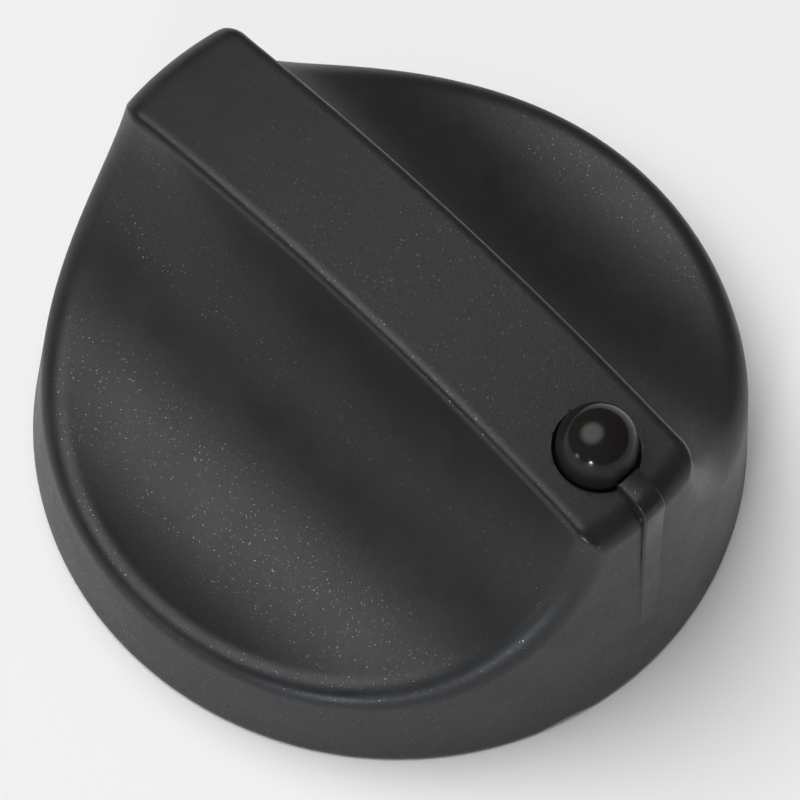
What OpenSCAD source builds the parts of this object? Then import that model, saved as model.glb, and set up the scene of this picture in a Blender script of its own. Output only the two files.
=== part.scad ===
// Barbecue control knob: a round moulded knob with a straight finger grip between two dished scoops.
// The knob stands on its bottom rim. +Z runs up its turning axis, and the pointer end of the grip faces -Y.

/* [Skirt] */
// Outer diameter of the skirt at the bottom rim
base_d = 57; // [50:0.5:66]
// Draft of the skirt, from the vertical, in degrees
skirt_draft = 4.9; // [2:0.1:8]
// Wall thickness of the moulding
wall = 2.3; // [1.6:0.1:3]
// Radius of the bottom rim's outer edge
foot_r = 0.5; // [0.2:0.1:1]

/* [Grip] */
// Height of the grip's top above the bottom rim, at the middle
knob_h = 29.2; // [26:0.1:34]
// Width of the grip
grip_w = 11.4; // [9.5:0.1:14]
// Radius of the arched top along the grip
crown_r = 132; // [100:1:220]
// Radius of the grip's two long top edges
grip_edge_r = 0.8; // [0.4:0.1:1.4]
// Lean of the grip's shoulders below those edges, from the vertical, in degrees
shoulder_lean = 20; // [14:1:26]
// Depth of the shoulders below the arched top
shoulder_h = 3; // [2:0.1:4]
// Radius of the roll at the grip's two ends
end_roll_r = 1.8; // [1:0.1:2.5]

/* [Finger scoops] */
// Radius of the scoop's section across the grip
scoop_r = 16.3; // [14:0.1:18]
// Height of the scoop's deepest point above the bottom rim
scoop_floor = 8.5; // [7:0.1:11]
// Radius of the scoop's floor along the grip
scoop_sweep_r = 109; // [80:1:160]

/* [Pointer] */
// Width of the pointer rib on the grip
pointer_w = 2.1; // [1.4:0.1:3]
// Width of the pointer rib at its lower end
pointer_tip_w = 1.7; // [1:0.1:2.4]
// Height of the pointer rib above the top of the grip
pointer_rise = 0.9; // [0.4:0.1:1.5]
// Height of the pointer rib above the skirt, at the grip's end
pointer_proud = 0.5; // [0.3:0.1:1]
// Height above the bottom rim where the rib runs out into the skirt
pointer_low = 8.5; // [4:0.5:14]

/* [Bead] */
// Diameter of the bead
bead_d = 6.2; // [5:0.1:7.4]
// Distance of the bead's middle from the end of the grip
bead_end = 5.8; // [5:0.1:9]
// Height of the bead's straight side above the grip's top
bead_side = 1; // [0.4:0.1:1.8]
// Gap around the bead in its seat
bead_gap = 0.3; // [0.15:0.05:0.5]
// Depth of the bead's seat
bead_seat = 1.2; // [0.8:0.1:1.6]
// Diameter of the bead's stem
stem_d = 3; // [2:0.1:4]
// Length of the bead's stem below its seat
stem_len = 4.5; // [3:0.1:6]

/* [Hub] */
// Outer diameter of the hub
hub_d = 15; // [13.5:0.5:18]
// Distance of the hub's mouth above the bottom rim
hub_recess = 1.5; // [0.5:0.1:3]
// Diameter of the spindle socket
socket_d = 8.1; // [6:0.1:8.4]
// Distance of the socket's flat from the turning axis
socket_flat = 2.6; // [1.9:0.05:3.2]
// Depth of the spindle socket above the lead-in
socket_len = 14; // [10:0.5:17]
// Diameter of the round lead-in at the hub's mouth
lead_d = 10; // [9:0.1:11]
// Depth of the lead-in
lead_len = 2.5; // [1.5:0.1:4]
// Number of webs between the hub and the skirt
web_n = 4; // [4:4:8]
// Thickness of the webs
web_t = 1.6; // [1.2:0.1:2.4]
// Distance of the webs above the bottom rim
web_recess = 2.5; // [1:0.1:4]

/* [Spindle spring] */
// Thickness of the spring leaf
spring_t = 0.4; // [0.3:0.05:0.6]
// Width of the spring leaf
spring_w = 5; // [3.5:0.1:5.4]
// How far the leaf's bow stands out of the socket's flat
spring_bow = 0.3; // [0.1:0.05:0.5]
// Depth of the leaf's pocket behind the socket's flat
pocket_depth = 1.3; // [1:0.05:1.6]
// Gap around the leaf in its pocket
pocket_gap = 0.1; // [0.05:0.05:0.2]
// Distance of the pocket from each end of the socket's flat
pocket_end = 1.5; // [1:0.1:3]

/* [Rim notch] */
// Width of the shallow notch in the bottom rim
notch_w = 7; // [4:0.5:10]
// Height of the notch
notch_h = 0.9; // [0.4:0.1:1.4]
// Turn of the notch from the pointer, in degrees
notch_turn = -15.5; // [-60:0.5:60]

/* [Hidden] */
$fn = 96;
// A little extra length, so that a cut passes right through a face
over = 1;
base_r = base_d / 2;
grip_half = grip_w / 2;
// The arched top is part of a large drum that lies across the grip
crown_axis_z = knob_h - crown_r;
// Each scoop is a ring-shaped cut about an axis across the grip, high above the knob
scoop_axis_z = scoop_floor + scoop_sweep_r;
scoop_mid_x = grip_half + scoop_r;
scoop_ring_r = scoop_sweep_r - scoop_r;
hub_r = hub_d / 2;
socket_r = socket_d / 2;
socket_z = hub_recess + lead_len;
bead_r = bead_d / 2;
bead_out = skirt_r(knob_h) - bead_end;
seat_r = bead_r + bead_gap;
seat_z = crown_z(bead_out + seat_r) - bead_seat;
bead_side_z = crown_z(bead_out) + bead_side;
boss_r = seat_r + wall;
pocket_len = socket_len - 2 * pocket_end;
pocket_z = socket_z + pocket_end;
spring_len = pocket_len - 2 * pocket_gap;
spring_z = pocket_z + pocket_gap;

// Radius of the skirt at height z, measured on a surface that lies inset inside the outer one
function skirt_r(z, inset = 0) = base_r - z * tan(skirt_draft) - inset / cos(skirt_draft);
// Height of the arched top at distance y from the middle
function crown_z(y) = crown_axis_z + sqrt(pow(crown_r, 2) - pow(y, 2));
// Slope of the arched top at distance y, in degrees
function crown_slope(y) = asin(y / crown_r);
// Unit vector from point a towards point b
function toward(a, b) = (b - a) / norm(b - a);
// Half of the angle at corner b, between its neighbours a and c
function half_angle(a, b, c) = acos(toward(b, a) * toward(b, c)) / 2;
// Centre of the round of radius r in corner b
function round_centre(a, b, c, r) =
    let (mid = toward(b, a) + toward(b, c))
    b + mid / norm(mid) * r / sin(half_angle(a, b, c));
// Point where the round of radius r in corner b leaves the side towards a
function round_touch(a, b, c, r) = b + toward(b, a) * r / tan(half_angle(a, b, c));

// Outline with convex corners, each rounded by its own radius, or sharp where that is 0
module rounded_outline(points, radii) {
    n = len(points);
    polygon([
        for (i = [0:n - 1])
            let (a = points[(i + n - 1) % n], b = points[i], c = points[(i + 1) % n], r = radii[i])
            for (p = r > 0
                ? [round_touch(a, b, c, r), round_centre(a, b, c, r), round_touch(c, b, a, r)]
                : [b])
                p
    ]);
    for (i = [0:n - 1])
        if (radii[i] > 0)
            translate(round_centre(points[(i + n - 1) % n], points[i], points[(i + 1) % n], radii[i]))
                circle(r = radii[i]);
}

// Turns a profile about an axis that lies across the grip at height z
module across(z) {
    translate([0, 0, z])
        rotate([0, 90, 0])
            rotate_extrude($fn = 480)
                children();
}

// Skirt with its draft, its rounded foot and the roll over the grip's ends
module skirt_solid() {
    cap_r = skirt_r(knob_h) - end_roll_r;
    cap_slope = tan(crown_slope(cap_r));
    cap_top = crown_z(cap_r) + cap_slope * cap_r;
    // The skirt's side meets the line that continues the arched top
    corner_z = (cap_top - cap_slope * base_r) / (1 - cap_slope * tan(skirt_draft));
    rotate_extrude($fn = 180)
        rounded_outline(
            [[0, 0], [base_r, 0], [skirt_r(corner_z), corner_z], [0, cap_top]],
            [0, foot_r, end_roll_r, 0]
        );
}

// Drum whose rim is the arched top: its long edges are round and its shoulders lean outwards, so that the
// grip stays in one piece with the scoops where they widen towards the grip's ends
module grip_drum() {
    top_half = grip_half - grip_edge_r * (1 - tan(45 - shoulder_lean / 2));
    low_half = top_half + crown_r * tan(shoulder_lean);
    across(crown_axis_z) {
        translate([0, -base_r])
            square([crown_r - shoulder_h, base_d]);
        rounded_outline(
            [[0, -low_half], [crown_r, -top_half], [crown_r, top_half], [0, low_half]],
            [0, grip_edge_r, grip_edge_r, 0]
        );
    }
}

// Cut that leaves the scoop on the +X side, or its inner face under a wall of thickness inset
module scoop_cut(inset = 0) {
    inner = scoop_axis_z - knob_h - over;
    across(scoop_axis_z) {
        translate([inner, grip_half - inset])
            square([scoop_ring_r - inner, 2 * (scoop_r + inset)]);
        translate([scoop_ring_r, scoop_mid_x])
            circle(r = scoop_r + inset, $fn = 180);
    }
}

// Both scoops
module scoop_cuts(inset = 0) {
    for (side = [0, 1])
        mirror([side, 0, 0])
            scoop_cut(inset);
}

// Hollow under the skirt, the scoops and the grip
module hollow() {
    difference() {
        intersection() {
            translate([0, 0, -over])
                cylinder(h = knob_h + over, r1 = skirt_r(-over, wall), r2 = skirt_r(knob_h, wall), $fn = 180);
            across(crown_axis_z)
                translate([0, -base_r])
                    square([crown_r - wall, base_d]);
        }
        scoop_cuts(wall);
        hub_solid();
        webs();
        bead_boss();
    }
}

// Hub that carries the spindle socket
module hub_solid() {
    translate([0, 0, hub_recess])
        cylinder(h = knob_h, r = hub_r);
}

// Webs from the hub to the skirt, between the scoops' and the grip's directions
module webs() {
    for (i = [0:web_n - 1])
        rotate([0, 0, (i + 0.5) * 360 / web_n])
            translate([0, -web_t / 2, web_recess])
                cube([base_d, web_t, knob_h]);
}

// Boss under the bead's seat that holds its stem and joins the grip's walls
module bead_boss() {
    translate([0, -bead_out, seat_z - stem_len - wall])
        cylinder(h = knob_h, r = boss_r);
}

// D-shaped socket with its round lead-in and the pocket for the spring leaf
module spindle_socket() {
    translate([0, 0, hub_recess - over])
        cylinder(h = lead_len + over, d = lead_d);
    translate([0, 0, socket_z - over])
        linear_extrude(socket_len + over)
            intersection() {
                circle(r = socket_r);
                translate([-socket_d, socket_flat - 2 * socket_d])
                    square(2 * socket_d);
            }
    translate([-spring_w / 2 - pocket_gap, 0, pocket_z])
        cube([spring_w + 2 * pocket_gap, socket_flat + pocket_depth, pocket_len]);
}

// Round seat of the bead with the hole for its stem
module bead_hole() {
    translate([0, -bead_out, 0]) {
        translate([0, 0, seat_z])
            cylinder(h = knob_h, r = seat_r);
        translate([0, 0, seat_z - stem_len])
            cylinder(h = stem_len + over, d = stem_d);
    }
}

// Raised pointer rib that runs from the bead over the grip's end and down the skirt
module pointer_rib() {
    start = bead_out;
    start_z = crown_z(start) + pointer_rise;
    end_z = crown_z(skirt_r(knob_h)) + pointer_rise;
    end_out = skirt_r(end_z) + pointer_proud;
    low_out = skirt_r(pointer_low);
    intersection() {
        // Seen from the side
        rotate([90, 0, -90])
            linear_extrude(pointer_w, center = true)
                rounded_outline(
                    [[start, start_z], [start, pointer_low + over], [low_out - wall / 2, pointer_low],
                        [low_out, pointer_low], [end_out, end_z]],
                    [0, 0, 0, 0, end_roll_r]
                );
        // Seen from the front
        rotate([90, 0, 0])
            linear_extrude(base_d)
                polygon([
                    [-pointer_tip_w / 2, pointer_low], [pointer_tip_w / 2, pointer_low],
                    [pointer_w / 2, end_z - end_roll_r], [pointer_w / 2, knob_h + over],
                    [-pointer_w / 2, knob_h + over], [-pointer_w / 2, end_z - end_roll_r]
                ]);
    }
}

// Shallow arched notch in the bottom rim
module rim_notch() {
    notch_r = (pow(notch_w, 2) / 4 + pow(notch_h, 2)) / (2 * notch_h);
    rotate([0, 0, notch_turn])
        translate([0, -(base_r - wall - over), notch_h - notch_r])
            rotate([90, 0, 0])
                cylinder(h = wall + 2 * over, r = notch_r);
}

module knob_body() {
    color([0.08, 0.08, 0.085])
        difference() {
            union() {
                difference() {
                    intersection() {
                        skirt_solid();
                        grip_drum();
                    }
                    scoop_cuts();
                    hollow();
                }
                difference() {
                    pointer_rib();
                    hollow();
                }
            }
            spindle_socket();
            bead_hole();
            rim_notch();
        }
}

// Domed bead with its stem
module indicator_bead() {
    color([0.02, 0.02, 0.025])
        translate([0, -bead_out, 0]) {
            translate([0, 0, seat_z - stem_len])
                cylinder(h = stem_len + over / 2, d = stem_d);
            translate([0, 0, seat_z])
                cylinder(h = bead_side_z - seat_z, r = bead_r);
            translate([0, 0, bead_side_z])
                intersection() {
                    sphere(r = bead_r);
                    translate([-bead_r, -bead_r, 0])
                        cube([bead_d, bead_d, bead_r]);
                }
        }
}

// Bowed leaf behind the socket's flat: its ends rest on the pocket's back, its bow stands out of the flat
module spindle_spring() {
    rise = pocket_depth + spring_bow;
    bow_r = (pow(rise, 2) - pow(spring_t, 2) + pow(spring_len, 2) / 4) / (2 * (rise - spring_t));
    color([0.6, 0.6, 0.62])
        translate([-spring_w / 2, socket_flat - spring_bow + bow_r, spring_z + spring_len / 2])
            rotate([0, 90, 0])
                linear_extrude(spring_w)
                    intersection() {
                        difference() {
                            circle(r = bow_r, $fn = 180);
                            circle(r = bow_r - spring_t, $fn = 180);
                        }
                        translate([-spring_len / 2, -bow_r - over])
                            square([spring_len, bow_r]);
                    }
}

knob_body();
indicator_bead();
spindle_spring();
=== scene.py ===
"""Barbecue control knob: the moulded form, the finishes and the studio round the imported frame.

Shapes are modelled in millimetres, in the part's own frame, and brought to metres when they become
pieces.
"""

from __future__ import annotations

import logging
import math
from dataclasses import dataclass, field
from enum import Enum

import bmesh
import bpy
import numpy as np
from mathutils import Matrix, Vector

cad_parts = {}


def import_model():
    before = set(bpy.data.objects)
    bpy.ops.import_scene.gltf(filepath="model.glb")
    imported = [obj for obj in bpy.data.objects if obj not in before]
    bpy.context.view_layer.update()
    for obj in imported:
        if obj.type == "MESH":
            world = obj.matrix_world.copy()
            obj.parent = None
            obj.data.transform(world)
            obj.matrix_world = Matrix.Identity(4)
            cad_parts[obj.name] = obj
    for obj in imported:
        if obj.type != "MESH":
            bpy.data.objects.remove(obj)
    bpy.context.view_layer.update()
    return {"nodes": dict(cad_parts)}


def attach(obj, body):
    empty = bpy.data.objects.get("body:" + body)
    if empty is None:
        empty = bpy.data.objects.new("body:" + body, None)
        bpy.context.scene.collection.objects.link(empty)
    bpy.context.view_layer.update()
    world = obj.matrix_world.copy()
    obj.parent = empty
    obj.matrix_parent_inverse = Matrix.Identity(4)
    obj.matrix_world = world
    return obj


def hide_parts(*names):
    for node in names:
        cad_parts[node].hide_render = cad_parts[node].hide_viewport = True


log = logging.getLogger("knob")

MM = 0.001
ROOT_BODY = "root"


class Slot(Enum):
    """The record's material slots."""

    BODY = "body"
    BEAD = "bead"
    SPRING = "spring"


class Cut(Enum):
    """What one shape does to another."""

    TAKE = "DIFFERENCE"
    KEEP = "INTERSECT"
    ADD = "UNION"


def rolled(a: np.ndarray, b: np.ndarray, radius: float) -> np.ndarray:
    """Joins two signed distances so that the edge between their surfaces is rolled over.

    Args:
        a: Signed distances to the first surface, negative inside.
        b: Signed distances to the second surface, negative inside.
        radius: Radius of the rolled edge.

    Returns:
        Signed distances to the joined surface.
    """
    corner = np.hypot(np.maximum(a + radius, 0.0), np.maximum(b + radius, 0.0)) - radius
    inner = (a < -radius) | (b < -radius)
    return np.where(inner, np.maximum(a, b), corner)


def points_of(shape: bmesh.types.BMesh) -> np.ndarray:
    """Returns the places of a shape's vertices as rows."""
    return np.array([v.co[:] for v in shape.verts])


def place_points(shape: bmesh.types.BMesh, places: np.ndarray) -> None:
    """Moves a shape's vertices to the given rows."""
    for vert, place in zip(shape.verts, places):
        vert.co = place


def shape_object(shape: bmesh.types.BMesh, name: str) -> bpy.types.Object:
    """Turns a shape into an object of the scene and frees the shape.

    Args:
        shape: The shape, in any unit.
        name: Name of the object and its mesh.

    Returns:
        The new object, at the origin.
    """
    mesh = bpy.data.meshes.new(name)
    shape.to_mesh(mesh)
    shape.free()
    thing = bpy.data.objects.new(name, mesh)
    bpy.context.scene.collection.objects.link(thing)
    return thing


def settled_shape(thing: bpy.types.Object) -> bmesh.types.BMesh:
    """Returns an object's mesh with its modifiers applied, and removes the object."""
    graph = bpy.context.evaluated_depsgraph_get()
    shape = bmesh.new()
    shape.from_object(thing, graph)
    mesh = thing.data
    bpy.data.objects.remove(thing)
    bpy.data.meshes.remove(mesh)
    return shape


def combine(shape: bmesh.types.BMesh, tool: bmesh.types.BMesh, cut: Cut) -> bmesh.types.BMesh:
    """Cuts, keeps or adds one closed shape with another.

    Args:
        shape: The shape that is worked on.
        tool: The shape that works on it.
        cut: What the tool does.

    Returns:
        The new shape. Both given shapes are used up.
    """
    work = shape_object(shape, "work")
    helper = shape_object(tool, "tool")
    change = work.modifiers.new("cut", "BOOLEAN")
    change.operation = cut.value
    change.solver = "EXACT"
    change.object = helper
    result = settled_shape(work)
    bpy.data.objects.remove(helper)
    return result


def spun(outline: list[tuple[float, float]], steps: int) -> bmesh.types.BMesh:
    """Spins an outline of radius and height about the Z axis into a closed shape.

    Args:
        outline: Points of radius and height. Its two ends lie on the axis.
        steps: Number of steps in the full turn.

    Returns:
        The closed shape, with its faces pointing outwards.
    """
    shape = bmesh.new()
    verts = [shape.verts.new((radius, 0.0, height)) for radius, height in outline]
    edges = [shape.edges.new(pair) for pair in zip(verts, verts[1:])]
    bmesh.ops.spin(
        shape,
        geom=verts + edges,
        cent=(0.0, 0.0, 0.0),
        axis=(0.0, 0.0, 1.0),
        angle=math.tau,
        steps=steps,
        use_merge=True,
    )
    bmesh.ops.remove_doubles(shape, verts=shape.verts, dist=1e-4)
    bmesh.ops.recalc_face_normals(shape, faces=shape.faces)
    return shape


def arc(
    centre: tuple[float, float], radius: float, start: float, end: float, steps: int
) -> list[tuple[float, float]]:
    """Returns points on an arc, with its angles in degrees from the first axis.

    Args:
        centre: Middle of the arc.
        radius: Radius of the arc.
        start: Angle of the first point.
        end: Angle of the last point.
        steps: Number of stretches between the points.

    Returns:
        The points, both ends among them.
    """
    angles = [math.radians(start + (end - start) * i / steps) for i in range(steps + 1)]
    return [(centre[0] + radius * math.cos(a), centre[1] + radius * math.sin(a)) for a in angles]


def finished_piece(shape: bmesh.types.BMesh, name: str, crease_deg: float) -> bpy.types.Object:
    """Turns a shape in millimetres into a smooth-shaded piece in metres.

    Args:
        shape: The shape, which is used up.
        name: Name of the piece.
        crease_deg: Edges that bend more than this stay sharp.

    Returns:
        The piece, at the origin.
    """
    bmesh.ops.scale(shape, vec=(MM, MM, MM), verts=shape.verts)
    for face in shape.faces:
        face.smooth = True
    piece = shape_object(shape, name)
    piece.data.set_sharp_from_angle(angle=math.radians(crease_deg))
    return piece


class Nodes:
    """A small helper that writes a material's node tree."""

    def __init__(self, name: str) -> None:
        """Starts a material with a Principled shader and its output."""
        self.material = bpy.data.materials.new(name)
        self.material.use_nodes = True
        self.tree = self.material.node_tree
        self.tree.nodes.clear()
        self.shader = self.add("ShaderNodeBsdfPrincipled")
        output = self.add("ShaderNodeOutputMaterial")
        self.join(self.shader.outputs["BSDF"], output.inputs["Surface"])
        self.place = self.add("ShaderNodeTexCoord").outputs["Object"]

    def add(self, kind: str, **values: object) -> bpy.types.Node:
        """Adds a node and sets its attributes.

        Args:
            kind: The node's type name.
            **values: Attributes of the node.

        Returns:
            The new node.
        """
        node = self.tree.nodes.new(kind)
        for name, value in values.items():
            setattr(node, name, value)
        return node

    def join(self, output: bpy.types.NodeSocket, socket: bpy.types.NodeSocket) -> None:
        """Links an output to an input."""
        self.tree.links.new(output, socket)

    def noise(self, grain_mm: float, detail: float, roughness: float = 0.5) -> bpy.types.NodeSocket:
        """Adds noise on Object coordinates.

        Args:
            grain_mm: Size of its grain.
            detail: Octaves of finer noise.
            roughness: Strength of the finer octaves.

        Returns:
            Its value, from 0 to 1.
        """
        node = self.add("ShaderNodeTexNoise")
        node.inputs["Scale"].default_value = 1.0 / (grain_mm * MM)
        node.inputs["Detail"].default_value = detail
        node.inputs["Roughness"].default_value = roughness
        self.join(self.place, node.inputs["Vector"])
        return node.outputs["Fac"]

    def spread(
        self, value: bpy.types.NodeSocket, source: tuple[float, float], target: tuple[float, float]
    ) -> bpy.types.NodeSocket:
        """Maps a value from one range to another, clamped.

        Args:
            value: The value to map.
            source: Its range.
            target: The range that it becomes.

        Returns:
            The mapped value.
        """
        node = self.add("ShaderNodeMapRange")
        self.join(value, node.inputs["Value"])
        node.inputs["From Min"].default_value, node.inputs["From Max"].default_value = source
        node.inputs["To Min"].default_value, node.inputs["To Max"].default_value = target
        return node.outputs["Result"]

    def sum_of(self, operation: str, *values: bpy.types.NodeSocket | float) -> bpy.types.NodeSocket:
        """Adds a maths node.

        Args:
            operation: Its operation, such as ADD.
            *values: Its inputs, linked or plain.

        Returns:
            Its value.
        """
        node = self.add("ShaderNodeMath", operation=operation)
        for socket, value in zip(node.inputs, values):
            if isinstance(value, (int, float)):
                socket.default_value = value
            else:
                self.join(value, socket)
        return node.outputs["Value"]

    def blend(
        self, amount: bpy.types.NodeSocket, low: tuple[float, ...], high: tuple[float, ...]
    ) -> bpy.types.NodeSocket:
        """Blends two colours by an amount.

        Args:
            amount: 0 gives the low colour and 1 the high one.
            low: First colour.
            high: Second colour.

        Returns:
            The blended colour.
        """
        node = self.add("ShaderNodeMix", data_type="RGBA")
        self.join(amount, node.inputs[0])
        node.inputs[6].default_value = (*low, 1.0)
        node.inputs[7].default_value = (*high, 1.0)
        return node.outputs[2]

    def bump(self, height: bpy.types.NodeSocket, depth_mm: float, strength: float) -> None:
        """Puts a height into the shader's normal.

        Args:
            height: The height, from 0 to 1.
            depth_mm: What 1 stands for.
            strength: Share of it that shows.
        """
        node = self.add("ShaderNodeBump")
        node.inputs["Strength"].default_value = strength
        node.inputs["Distance"].default_value = depth_mm * MM
        self.join(height, node.inputs["Height"])
        self.join(node.outputs["Normal"], self.shader.inputs["Normal"])


@dataclass(frozen=True)
class MouldedPlastic:
    """Black plastic with the fine spark-eroded grain of its mould, rubbed smoother on its edges."""

    dark: tuple[float, float, float] = (0.0150, 0.0158, 0.0146)
    pale: tuple[float, float, float] = (0.0225, 0.0220, 0.0222)
    roughness: tuple[float, float] = (0.38, 0.50)
    sheen_level: float = 0.27
    speck_level: float = 1.0
    rubbed: float = 0.14
    grain_mm: float = 0.15
    pit_mm: float = 0.40
    mottle_mm: float = 4.5
    grain_depth_mm: float = 0.014
    speck_mm: float = 0.16
    speck_gloss: float = 0.26
    rub_name: str = "rub"

    def material(self) -> bpy.types.Material:
        """Returns the material."""
        nodes = Nodes("moulded_plastic")
        mottle = nodes.noise(self.mottle_mm, 4.0, 0.6)
        grain = nodes.noise(self.grain_mm, 2.0, 0.6)
        pits = nodes.noise(self.pit_mm, 3.0, 0.55)
        rub = nodes.add("ShaderNodeAttribute", attribute_name=self.rub_name).outputs["Fac"]
        shade = nodes.sum_of("MULTIPLY", mottle, grain)
        nodes.join(nodes.blend(nodes.spread(shade, (0.12, 0.42), (0.0, 1.0)), self.dark, self.pale),
                   nodes.shader.inputs["Base Color"])
        patches = nodes.sum_of("ADD", mottle, nodes.sum_of("MULTIPLY", pits, 0.5))
        rough = nodes.spread(patches, (0.5, 1.0), self.roughness)
        specks = nodes.noise(self.speck_mm, 1.0)
        gloss = nodes.spread(specks, (0.68, 0.75), (0.0, self.speck_gloss))
        smoother = nodes.sum_of("ADD", nodes.sum_of("MULTIPLY", rub, self.rubbed), gloss)
        nodes.join(nodes.sum_of("SUBTRACT", rough, smoother), nodes.shader.inputs["Roughness"])
        height = nodes.sum_of("ADD", grain, pits)
        nodes.bump(height, self.grain_depth_mm, 0.9)
        nodes.shader.inputs["IOR"].default_value = 1.52
        nodes.join(nodes.spread(specks, (0.69, 0.76), (self.sheen_level, self.speck_level)),
                   nodes.shader.inputs["Specular IOR Level"])
        return nodes.material


@dataclass(frozen=True)
class PolishedPlastic:
    """Black plastic, polished on the dome's top and satin on its side, with a faint ripple and dust."""

    colour: tuple[float, float, float] = (0.0120, 0.0110, 0.0100)
    dust: tuple[float, float, float] = (0.024, 0.023, 0.022)
    roughness: tuple[float, float] = (0.46, 0.12)
    satin_mm: tuple[float, float] = (29.5, 30.5)
    sheen_level: float = 0.24
    ripple_mm: float = 1.4
    dust_mm: float = 0.16
    ripple_depth_mm: float = 0.006

    def material(self) -> bpy.types.Material:
        """Returns the material."""
        nodes = Nodes("polished_plastic")
        dust = nodes.spread(nodes.noise(self.dust_mm, 2.0, 0.7), (0.60, 0.74), (0.0, 1.0))
        ripple = nodes.noise(self.ripple_mm, 2.0, 0.4)
        nodes.join(nodes.blend(dust, self.colour, self.dust), nodes.shader.inputs["Base Color"])
        height = nodes.add("ShaderNodeSeparateXYZ")
        nodes.join(nodes.place, height.inputs["Vector"])
        low, high = (z * MM for z in self.satin_mm)
        rough = nodes.spread(height.outputs["Z"], (low, high), self.roughness)
        nodes.join(rough, nodes.shader.inputs["Roughness"])
        nodes.bump(ripple, self.ripple_depth_mm, 0.6)
        nodes.shader.inputs["IOR"].default_value = 1.46
        nodes.shader.inputs["Specular IOR Level"].default_value = self.sheen_level
        return nodes.material


@dataclass(frozen=True)
class SpringSteel:
    """Rolled spring steel, drawn along its length."""

    dark: tuple[float, float, float] = (0.36, 0.36, 0.37)
    pale: tuple[float, float, float] = (0.58, 0.58, 0.59)
    roughness: tuple[float, float] = (0.26, 0.40)
    line_mm: float = 0.12
    line_stretch: float = 0.05

    def material(self) -> bpy.types.Material:
        """Returns the material."""
        nodes = Nodes("spring_steel")
        turn = nodes.add("ShaderNodeMapping")
        turn.inputs["Scale"].default_value = (1.0, 1.0, self.line_stretch)
        nodes.join(nodes.place, turn.inputs["Vector"])
        nodes.place = turn.outputs["Vector"]
        lines = nodes.noise(self.line_mm, 3.0, 0.6)
        nodes.join(nodes.blend(nodes.spread(lines, (0.3, 0.7), (0.0, 1.0)), self.dark, self.pale),
                   nodes.shader.inputs["Base Color"])
        nodes.join(nodes.spread(lines, (0.3, 0.7), self.roughness), nodes.shader.inputs["Roughness"])
        nodes.bump(lines, 0.004, 0.5)
        nodes.shader.inputs["Metallic"].default_value = 1.0
        return nodes.material


@dataclass
class PointerRib:
    """The raised rib that runs from the bead over the grip's end and down the skirt."""

    width: float = 2.1
    tip_width: float = 1.7
    rise: float = 0.9
    proud: float = 0.5
    low: float = 8.5
    end_roll: float = 1.8
    edge_round: float = 0.2
    bead_gap: float = 0.1

    def shape(self, body: KnobBody) -> bmesh.types.BMesh:
        """Builds the rib as a closed bar that reaches into the body.

        Args:
            body: The body that carries it.

        Returns:
            The rib's shape.
        """
        start = body.bead_out + body.bead_r + self.bead_gap
        end_z = body.crown_z(body.skirt_r(body.height)) + self.rise
        end_out = body.skirt_r(end_z) + self.proud
        low_out = body.skirt_r(self.low)
        top = [(start + (end_out - self.end_roll - start) * i / 6, 0.0) for i in range(7)]
        top = [(out, body.crown_z(out) + self.rise) for out, _ in top]
        roll_z = body.crown_z(end_out - self.end_roll) + self.rise - self.end_roll
        roll = arc((end_out - self.end_roll, roll_z), self.end_roll, 86.0, 0.0, 8)
        open_side = [*top[:-1], *roll, (low_out, self.low)]
        side = [*open_side, (low_out - 1.0, self.low), (start, self.low + 6.0)]
        shape = bmesh.new()
        flanks = [
            [shape.verts.new((sign * self.half_width(z, end_z), -out, z)) for out, z in side]
            for sign in (-1.0, 1.0)
        ]
        for flank in flanks:
            shape.faces.new(flank)
        for here, there in zip(range(len(side)), [*range(1, len(side)), 0]):
            shape.faces.new([flanks[0][here], flanks[0][there], flanks[1][there], flanks[1][here]])
        bmesh.ops.recalc_face_normals(shape, faces=shape.faces)
        crest = [(flank[i], flank[i + 1]) for flank in flanks for i in range(len(open_side) - 1)]
        crest.append((flanks[0][0], flanks[1][0]))
        bmesh.ops.bevel(
            shape,
            geom=[shape.edges.get(pair) for pair in crest],
            offset=self.edge_round,
            segments=3,
            profile=0.5,
            affect="EDGES",
            material=-1,
        )
        return shape

    def half_width(self, z: float, end_z: float) -> float:
        """Returns half of the rib's width at height z."""
        share = min(1.0, max(0.0, (z - self.low) / (end_z - self.end_roll - self.low)))
        return (self.tip_width + (self.width - self.tip_width) * share) / 2


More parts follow.
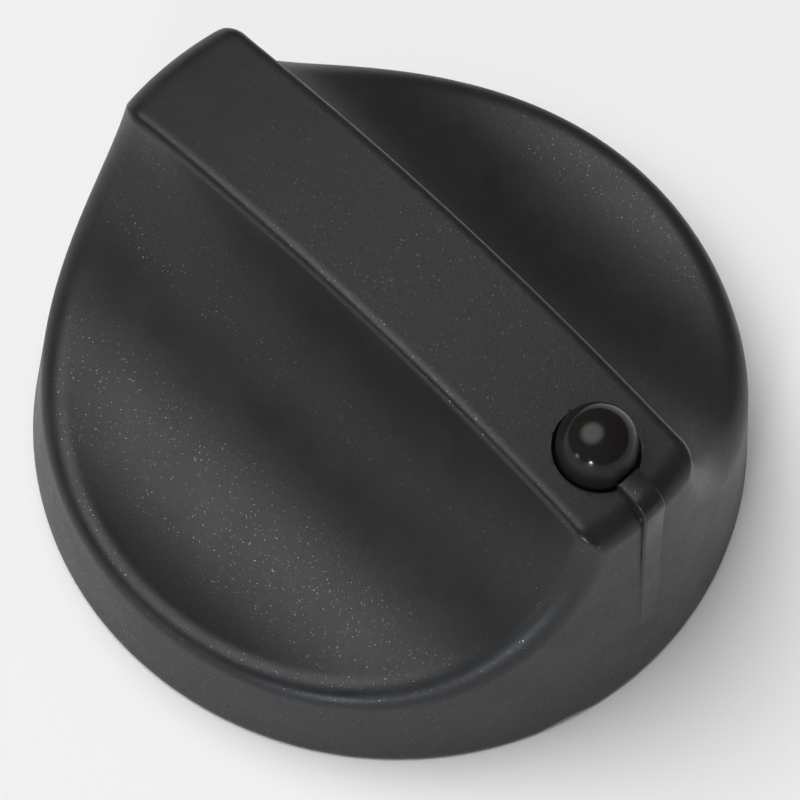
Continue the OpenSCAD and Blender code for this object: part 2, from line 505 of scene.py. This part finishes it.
@dataclass
class KnobBody:
    """The moulded body: a round skirt, a straight crowned grip, two finger scoops and the pointer rib."""

    base_r: float = 28.5
    draft_deg: float = 4.9
    height: float = 29.2
    grip_half: float = 5.7
    crown_r: float = 132.0
    scoop_r: float = 16.3
    scoop_floor: float = 8.5
    scoop_sweep_r: float = 109.0
    wall: float = 2.3
    grip_roll: float = 0.8
    rim_roll: float = 1.9
    foot_roll: float = 0.5
    bead_out: float = 20.197
    bead_r: float = 3.1
    seat_r: float = 3.4
    seat_z: float = 25.87
    seat_roll: float = 0.08
    stem_r: float = 1.5
    stem_len: float = 4.5
    notch_w: float = 7.0
    notch_h: float = 0.9
    notch_turn_deg: float = -15.5
    voxel: float = 0.32
    rib: PointerRib = field(default_factory=PointerRib)
    finish: MouldedPlastic = MouldedPlastic()

    @property
    def crown_axis_z(self) -> float:
        """Height of the axis of the drum that the grip's top belongs to."""
        return self.height - self.crown_r

    @property
    def scoop_axis_z(self) -> float:
        """Height of the axis that the scoops sweep about."""
        return self.scoop_floor + self.scoop_sweep_r

    @property
    def scoop_mid_x(self) -> float:
        """Distance of the scoop's deepest line from the grip's middle."""
        return self.grip_half + self.scoop_r

    @property
    def scoop_ring_r(self) -> float:
        """Distance of the scoop's section centre from the sweep's axis."""
        return self.scoop_sweep_r - self.scoop_r

    def skirt_r(self, z: float) -> float:
        """Returns the skirt's radius at height z."""
        return self.base_r - z * math.tan(math.radians(self.draft_deg))

    def crown_z(self, y: float) -> float:
        """Returns the height of the grip's top at distance y from its middle."""
        return self.crown_axis_z + math.sqrt(self.crown_r**2 - y**2)

    def gap(self, places: np.ndarray) -> np.ndarray:
        """Measures how far points lie outside the outer form with its rolled edges.

        Args:
            places: Rows of x, y and z.

        Returns:
            Signed distances, negative inside.
        """
        x, y, z = np.abs(places[:, 0]), places[:, 1], places[:, 2]
        draft = math.radians(self.draft_deg)
        skirt = (np.hypot(x, y) - self.base_r + z * math.tan(draft)) * math.cos(draft)
        crown = np.hypot(y, z - self.crown_axis_z) - self.crown_r
        reach = np.maximum(np.hypot(y, z - self.scoop_axis_z) - self.scoop_ring_r, 0.0)
        scoop = self.scoop_r - np.hypot(x - self.scoop_mid_x, reach)
        upper = rolled(crown, scoop, self.grip_roll)
        return rolled(rolled(upper, skirt, self.rim_roll), -z, self.foot_roll)

    def settle(self, shape: bmesh.types.BMesh) -> None:
        """Moves the vertices of a shape onto the outer form, along its slope."""
        places = points_of(shape)
        step = 1e-3
        for _ in range(6):
            slope = np.stack(
                [self.gap(places + step * axis) - self.gap(places - step * axis) for axis in np.eye(3)],
                axis=1,
            )
            slope /= 2 * step
            length = np.maximum((slope**2).sum(axis=1), 0.05)
            places -= slope * (self.gap(places) / length)[:, None]
        place_points(shape, places)

    def blank(self) -> bmesh.types.BMesh:
        """Returns the sharp-edged blank: the skirt's cone under the crown's drum, with both scoops cut."""
        shape = bmesh.new()
        bmesh.ops.create_cone(
            shape,
            cap_ends=True,
            segments=256,
            radius1=self.base_r,
            radius2=self.skirt_r(self.height),
            depth=self.height,
            matrix=Matrix.Translation((0.0, 0.0, self.height / 2)),
        )
        drum = bmesh.new()
        bmesh.ops.create_cone(
            drum,
            cap_ends=True,
            segments=512,
            radius1=self.crown_r,
            radius2=self.crown_r,
            depth=3 * self.base_r,
            matrix=Matrix.Translation((0.0, 0.0, self.crown_axis_z)) @ Matrix.Rotation(math.pi / 2, 4, "Y"),
        )
        shape = combine(shape, drum, Cut.KEEP)
        for side in (-1.0, 1.0):
            shape = combine(shape, self.scoop(side), Cut.TAKE)
        return shape

    def scoop(self, side: float) -> bmesh.types.BMesh:
        """Returns the wheel whose rim cuts one scoop, on the side of the given sign."""
        outline = [(0.0, self.grip_half), (self.scoop_ring_r, self.grip_half)]
        outline += arc((self.scoop_ring_r, self.scoop_mid_x), self.scoop_r, -86.0, 90.0, 44)
        outline.append((0.0, self.grip_half + 2 * self.scoop_r))
        shape = spun(outline, 512)
        turn = Matrix.Translation((0.0, 0.0, self.scoop_axis_z)) @ Matrix.Rotation(side * math.pi / 2, 4, "Y")
        bmesh.ops.transform(shape, matrix=turn, verts=shape.verts)
        return shape

    def outer(self) -> bmesh.types.BMesh:
        """Returns the solid outer form with an even mesh and rolled edges."""
        work = shape_object(self.blank(), "work")
        even = work.modifiers.new("even", "REMESH")
        even.mode = "VOXEL"
        even.voxel_size = self.voxel
        shape = settled_shape(work)
        for _ in range(3):
            bmesh.ops.smooth_vert(
                shape, verts=shape.verts, factor=0.5, use_axis_x=True, use_axis_y=True, use_axis_z=True
            )
            self.settle(shape)
        return shape

    def underside(self, node: bpy.types.Object) -> bmesh.types.BMesh:
        """Returns the hollow with its hub, webs and socket as one closed shape.

        Args:
            node: The frame's node, whose mesh is only read.

        Returns:
            The hollow's volume, closed below the rim.
        """
        shape = bmesh.new()
        shape.from_mesh(node.data)
        bmesh.ops.scale(shape, vec=(1 / MM, 1 / MM, 1 / MM), verts=shape.verts)
        bmesh.ops.remove_doubles(shape, verts=shape.verts, dist=1e-3)
        middles = np.array([f.calc_center_median()[:] for f in shape.faces])
        depth = -self.gap(middles)
        axis = np.hypot(middles[:, 0], middles[:, 1] + self.bead_out)
        seat = (axis < self.seat_r + 0.1) & (middles[:, 2] > self.seat_z - self.stem_len - 0.1)
        rim_inner = self.skirt_r(0.0) - self.wall / math.cos(math.radians(self.draft_deg))
        out = np.hypot(middles[:, 0], middles[:, 1])
        rim = (middles[:, 2] < self.notch_h + 0.1) & (out > rim_inner + 0.02)
        keep = (depth > self.wall / 2) & ~seat & ~rim
        spare = [face for face, kept in zip(shape.faces, keep) if not kept]
        bmesh.ops.delete(shape, geom=spare, context="FACES")
        edge = [e for e in shape.edges if e.is_boundary]
        low = bmesh.ops.extrude_edge_only(shape, edges=edge)["geom"]
        for vert in (g for g in low if isinstance(g, bmesh.types.BMVert)):
            vert.co.z = -1.0
        bmesh.ops.holes_fill(shape, edges=[g for g in low if isinstance(g, bmesh.types.BMEdge)], sides=0)
        bmesh.ops.recalc_face_normals(shape, faces=shape.faces)
        return shape

    def seat(self) -> bmesh.types.BMesh:
        """Returns the bead's seat and stem hole, with a rolled mouth, as one closed shape."""
        mouth_z = self.crown_z(self.bead_out)
        top = mouth_z + 6.0
        outline = [
            (0.0, self.seat_z - self.stem_len),
            (self.stem_r, self.seat_z - self.stem_len),
            (self.stem_r, self.seat_z),
            (self.seat_r, self.seat_z),
            (self.seat_r, top),
            (0.0, top),
        ]
        shape = spun(outline, 128)
        flare = [(0.0, -1.0), (self.seat_r - 0.01, -1.0), (self.seat_r - 0.01, -self.seat_roll)]
        flare += arc((self.seat_r + self.seat_roll, -self.seat_roll), self.seat_roll, 180.0, 90.0, 6)
        flare += [(self.seat_r + self.seat_roll, 2.0), (0.0, 2.0)]
        mouth = spun(flare, 128)
        slope = math.asin(self.bead_out / self.crown_r)
        turn = Matrix.Translation((0.0, 0.0, mouth_z)) @ Matrix.Rotation(slope, 4, "X")
        bmesh.ops.transform(mouth, matrix=turn, verts=mouth.verts)
        shape = combine(shape, mouth, Cut.ADD)
        bmesh.ops.translate(shape, vec=(0.0, -self.bead_out, 0.0), verts=shape.verts)
        return shape

    def notch(self) -> bmesh.types.BMesh:
        """Returns the round bar that cuts the shallow notch in the rim."""
        radius = (self.notch_w**2 / 4 + self.notch_h**2) / (2 * self.notch_h)
        shape = bmesh.new()
        bmesh.ops.create_cone(
            shape,
            cap_ends=True,
            segments=256,
            radius1=radius,
            radius2=radius,
            depth=self.wall + 2.0,
            matrix=Matrix.Rotation(math.radians(self.notch_turn_deg), 4, "Z")
            @ Matrix.Translation((0.0, -self.base_r + self.wall / 2, self.notch_h - radius))
            @ Matrix.Rotation(math.pi / 2, 4, "X"),
        )
        return shape

    def build(self, node: bpy.types.Object) -> bpy.types.Object:
        """Builds the body.

        Args:
            node: The frame's body, whose underside is taken over.

        Returns:
            The piece.
        """
        shape = combine(self.outer(), self.seat(), Cut.TAKE)
        shape = combine(shape, self.rib.shape(self), Cut.ADD)
        for tool in (self.underside(node), self.notch()):
            shape = combine(shape, tool, Cut.TAKE)
        bmesh.ops.remove_doubles(shape, verts=shape.verts, dist=1e-4)
        rub = self.rub_of(points_of(shape))
        piece = finished_piece(shape, "moulded_body", 32.0)
        layer = piece.data.attributes.new(self.finish.rub_name, "FLOAT", "POINT")
        layer.data.foreach_set("value", rub.astype(np.float32))
        return piece

    def rub_of(self, places: np.ndarray) -> np.ndarray:
        """Returns how much each point is rubbed: 1 on the rolled edges and the rib, 0 away from them."""
        probe = 0.6
        bend = sum(self.gap(places + probe * axis) + self.gap(places - probe * axis) for axis in np.eye(3))
        standing = self.gap(places) > 0.05
        return np.maximum(np.clip((bend - 6 * self.gap(places)) / probe, 0.0, 1.0), standing)

    def dress(self, piece: bpy.types.Object) -> None:
        """Gives the body its finish, hangs it on the root body and hides the frame's node that it replaces."""
        piece.data.materials.append(self.finish.material())
        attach(piece, ROOT_BODY)
        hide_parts("knob_body")


@dataclass
class IndicatorBead:
    """The polished dome in its seat near the pointer end, with its pressed-in stem."""

    side_z: float = 28.645
    foot_chamfer: float = 0.2
    finish: PolishedPlastic = PolishedPlastic()

    def build(self, body: KnobBody) -> bpy.types.Object:
        """Builds the bead.

        Args:
            body: The body that seats it.

        Returns:
            The piece.
        """
        foot = body.seat_z
        outline = [
            (0.0, foot - body.stem_len),
            (body.stem_r - self.foot_chamfer, foot - body.stem_len),
            (body.stem_r, foot - body.stem_len + self.foot_chamfer),
            (body.stem_r, foot),
            (body.bead_r - self.foot_chamfer, foot),
            (body.bead_r, foot + self.foot_chamfer),
            *arc((0.0, self.side_z), body.bead_r, 0.0, 90.0, 32),
        ]
        shape = spun(outline, 128)
        bmesh.ops.translate(shape, vec=(0.0, -body.bead_out, 0.0), verts=shape.verts)
        return finished_piece(shape, "polished_bead", 30.0)

    def dress(self, piece: bpy.types.Object) -> None:
        """Gives the bead its finish, hangs it on the root body and hides the frame's node that it replaces."""
        piece.data.materials.append(self.finish.material())
        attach(piece, ROOT_BODY)
        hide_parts("indicator_bead")


@dataclass
class SpindleSpring:
    """The bowed leaf behind the flat of the spindle socket, which the frame already holds in its true form."""

    finish: SpringSteel = SpringSteel()

    def dress(self, node: bpy.types.Object) -> None:
        """Gives the frame's own leaf its finish."""
        node.data.materials.clear()
        node.data.materials.append(self.finish.material())


def direction(azimuth_deg: float, elevation_deg: float) -> Vector:
    """Returns the unit vector towards a direction, where azimuth 0 is -Y and 90 is +X."""
    azimuth, elevation = math.radians(azimuth_deg), math.radians(elevation_deg)
    level = math.cos(elevation)
    return Vector((math.sin(azimuth) * level, -math.cos(azimuth) * level, math.sin(elevation)))


@dataclass(frozen=True)
class Lamp:
    """One square soft light that faces the knob, with its place as a direction and a reach in metres."""

    name: str
    azimuth_deg: float
    elevation_deg: float
    size: float
    power: float
    colour: tuple[float, float, float]
    reach: float = 1.5

    def hang(self) -> None:
        """Adds the light to the scene."""
        place = self.reach * direction(self.azimuth_deg, self.elevation_deg)
        data = bpy.data.lights.new(self.name, "AREA")
        data.size = self.size
        data.energy = self.power
        data.color = self.colour
        light = bpy.data.objects.new(self.name, data)
        light.location = place
        light.rotation_mode = "QUATERNION"
        light.rotation_quaternion = place.to_track_quat("Z", "Y")
        bpy.context.scene.collection.objects.link(light)


@dataclass
class Studio:
    """The pale table, the soft lights and the camera."""

    azimuth_deg: float = -49.59
    elevation_deg: float = 64.42
    roll_deg: float = 5.82
    distance_mm: float = 456.0
    focal_px: float = 5717.8
    frame_px: float = 800.0
    base_px: tuple[float, float] = (390.65, 429.72)
    sensor_mm: float = 36.0
    table_r: float = 12.0
    table_colour: tuple[float, float, float] = (0.93, 0.93, 0.93)
    room: float = 0.085
    sky: tuple[float, float, float] = (-0.18, 0.28, 0.943)
    sky_radiance: float = 3.95
    sky_colour: tuple[float, float, float] = (1.0, 1.0, 0.99)
    sky_inner_deg: float = 14.0
    sky_outer_deg: float = 38.0
    lamps: tuple[Lamp, ...] = (
        Lamp("front", -61.0, 7.0, 0.12, 6.5, (0.74, 0.83, 1.0)),
        Lamp("side", -98.0, 3.0, 0.25, 1.3, (1.0, 0.97, 0.90)),
    )

    def camera(self) -> None:
        """Places the camera where the photograph was taken from."""
        azimuth, roll = math.radians(self.azimuth_deg), math.radians(self.roll_deg)
        back = direction(self.azimuth_deg, self.elevation_deg)
        level = Vector((math.cos(azimuth), math.sin(azimuth), 0.0))
        rise = back.cross(level)
        right = math.cos(roll) * level + math.sin(roll) * rise
        up = math.cos(roll) * rise - math.sin(roll) * level
        middle = self.frame_px / 2
        place = back * self.distance_mm * MM
        per_px = self.distance_mm * MM / self.focal_px
        aim = right * (middle - self.base_px[0]) * per_px + up * (self.base_px[1] - middle) * per_px
        out = (place - aim).normalized()
        side = up.cross(out).normalized()
        data = bpy.data.cameras.new("camera")
        data.sensor_width = self.sensor_mm
        data.lens = self.focal_px / self.frame_px * self.sensor_mm
        data.clip_start = 0.01
        data.clip_end = 100.0
        camera = bpy.data.objects.new("camera", data)
        turn = Matrix((side, out.cross(side), out)).transposed().to_4x4()
        camera.matrix_world = Matrix.Translation(place) @ turn
        bpy.context.scene.collection.objects.link(camera)
        bpy.context.scene.camera = camera

    def table(self) -> None:
        """Makes the pale table."""
        shape = bmesh.new()
        bmesh.ops.create_circle(shape, cap_ends=True, segments=96, radius=self.table_r)
        table = shape_object(shape, "table")
        nodes = Nodes("table_top")
        nodes.shader.inputs["Base Color"].default_value = (*self.table_colour, 1.0)
        nodes.shader.inputs["Roughness"].default_value = 0.6
        table.data.materials.append(nodes.material)

    def light(self) -> None:
        """Sets the dim room with its soft light patch overhead, and the two lamps at table level."""
        world = bpy.data.worlds.new("room")
        world.use_nodes = True
        tree = world.node_tree
        place = tree.nodes.new("ShaderNodeTexCoord")
        toward = tree.nodes.new("ShaderNodeVectorMath")
        toward.operation = "DOT_PRODUCT"
        toward.inputs[1].default_value = Vector(self.sky).normalized()
        tree.links.new(place.outputs["Generated"], toward.inputs[0])
        patch = tree.nodes.new("ShaderNodeMapRange")
        patch.interpolation_type = "SMOOTHSTEP"
        patch.inputs["From Min"].default_value = math.cos(math.radians(self.sky_outer_deg))
        patch.inputs["From Max"].default_value = math.cos(math.radians(self.sky_inner_deg))
        patch.inputs["To Min"].default_value = self.room
        patch.inputs["To Max"].default_value = self.sky_radiance
        tree.links.new(toward.outputs["Value"], patch.inputs["Value"])
        tree.links.new(patch.outputs["Result"], tree.nodes["Background"].inputs["Strength"])
        tree.nodes["Background"].inputs["Color"].default_value = (*self.sky_colour, 1.0)
        bpy.context.scene.world = world
        for lamp in self.lamps:
            lamp.hang()
        bpy.context.scene.view_settings.view_transform = "Standard"

    def build(self) -> None:
        """Builds the whole studio."""
        self.table()
        self.light()
        self.camera()


def main() -> None:
    """Builds the knob and its studio in order."""
    logging.basicConfig(level=logging.INFO, format="%(name)s: %(message)s")
    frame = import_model()
    body, bead, spring = KnobBody(), IndicatorBead(), SpindleSpring()
    moulding = body.build(frame["nodes"]["knob_body"])
    body.dress(moulding)
    log.info("%s has %d faces", moulding.name, len(moulding.data.polygons))
    dome = bead.build(body)
    bead.dress(dome)
    log.info("%s has %d faces", dome.name, len(dome.data.polygons))
    spring.dress(frame["nodes"]["spindle_spring"])
    log.info("the spring leaf keeps the frame's mesh")
    Studio().build()


if __name__ == "__main__":
    main()
